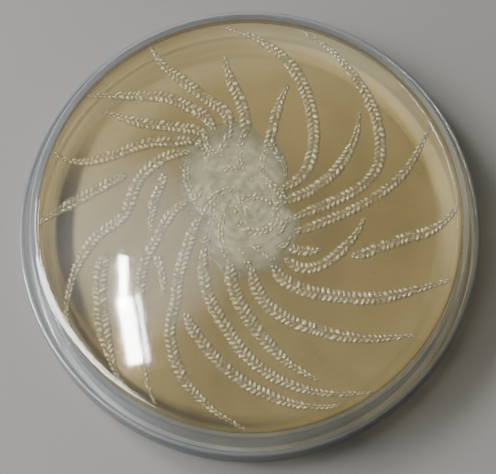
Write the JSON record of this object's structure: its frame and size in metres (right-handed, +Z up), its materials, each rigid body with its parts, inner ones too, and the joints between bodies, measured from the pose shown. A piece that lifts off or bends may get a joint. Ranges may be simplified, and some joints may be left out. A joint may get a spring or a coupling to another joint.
{
  "type": "petri dish",
  "caption": "Round clear plastic culture dish kept upside down in its lid, with an agar layer carrying a colony of braided spiral arms.",
  "frame": {"origin": "centre of the underside of the lid's foot ring, which is what the dish stands on", "axes": "+Z up through the stack of lid, dish and agar; X and Y lie in the plane of the table, and +Y is the side that is uppermost when the colony is looked at from above"},
  "size_m": [0.091, 0.091, 0.016],
  "materials": {
    "lid_plastic": "clear polystyrene, polished moulding",
    "dish_plastic": "clear polystyrene, polished moulding",
    "agar": "moist amber gel, smooth and slightly cloudy",
    "colony_film": "moist bluish-grey film",
    "colony_arms": "moist milky growth, glistening"
  },
  "bodies": {
    "lid": {"lid": "lid_plastic"},
    "base": {"base_dish": "dish_plastic", "agar_gel": "agar", "colony_hub": "colony_film", "colony_arm_01": "colony_arms", "colony_arm_02": "colony_arms", "colony_arm_03": "colony_arms", "colony_arm_04": "colony_arms", "colony_arm_05": "colony_arms", "colony_arm_06": "colony_arms", "colony_arm_07": "colony_arms", "colony_arm_08": "colony_arms", "colony_arm_09": "colony_arms", "colony_arm_10": "colony_arms", "colony_arm_11": "colony_arms", "colony_arm_12": "colony_arms", "colony_arm_13": "colony_arms", "colony_arm_14": "colony_arms", "colony_arm_15": "colony_arms", "colony_arm_16": "colony_arms", "colony_arm_17": "colony_arms", "colony_arm_18": "colony_arms", "colony_arm_19": "colony_arms", "colony_arm_20": "colony_arms", "colony_arm_21": "colony_arms", "colony_arm_22": "colony_arms", "colony_arm_23": "colony_arms", "colony_arm_24": "colony_arms", "colony_arm_25": "colony_arms"}
  },
  "joints": [
    {"name": "base_lift", "type": "slide", "parent": "lid", "child": "base", "axis": [0, 0, 1], "range_m": [0, 0.04]}
  ]
}
